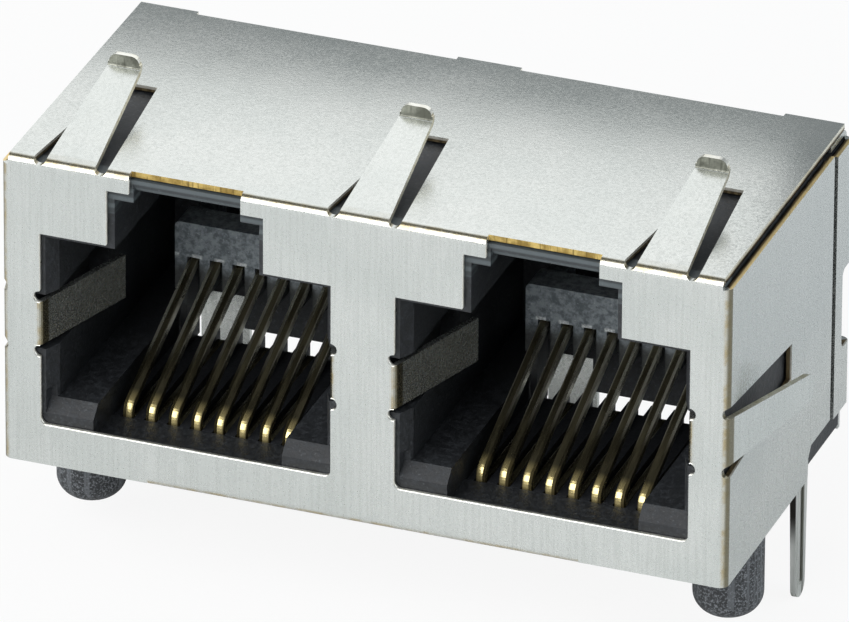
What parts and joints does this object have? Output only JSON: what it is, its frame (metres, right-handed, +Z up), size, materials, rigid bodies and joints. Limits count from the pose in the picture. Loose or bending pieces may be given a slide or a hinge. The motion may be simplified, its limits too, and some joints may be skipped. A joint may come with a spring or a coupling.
{
  "type": "two-port shielded modular board jack",
  "caption": "Shielded modular jack block for a circuit board, with plug ports side by side, spring contacts, ground fingers and locating pegs",
  "frame": {"origin": "on the plane of the circuit board, midway between the axes of the two locating pegs", "axes": "+X along the row of ports, to the right seen from the mating face; +Y from the mating face to the back; +Z up, away from the board"},
  "size_m": [0.0352, 0.0154, 0.0215],
  "materials": {
    "shield_sheet": "satin plated sheet",
    "housing_plastic": "fine moulded grain",
    "insert_plastic": "glass-filled, speckled",
    "contact_wire": "gold plated"
  },
  "bodies": {
    "root": {"front_shield": "shield_sheet", "rear_shield": "shield_sheet", "housing": "housing_plastic", "insert_left": "insert_plastic", "insert_right": "insert_plastic", "contact_left_1": "contact_wire", "contact_left_2": "contact_wire", "contact_left_3": "contact_wire", "contact_left_4": "contact_wire", "contact_left_5": "contact_wire", "contact_left_6": "contact_wire", "contact_left_7": "contact_wire", "contact_left_8": "contact_wire", "contact_right_1": "contact_wire", "contact_right_2": "contact_wire", "contact_right_3": "contact_wire", "contact_right_4": "contact_wire", "contact_right_5": "contact_wire", "contact_right_6": "contact_wire", "contact_right_7": "contact_wire", "contact_right_8": "contact_wire"}
  },
  "joints": []
}
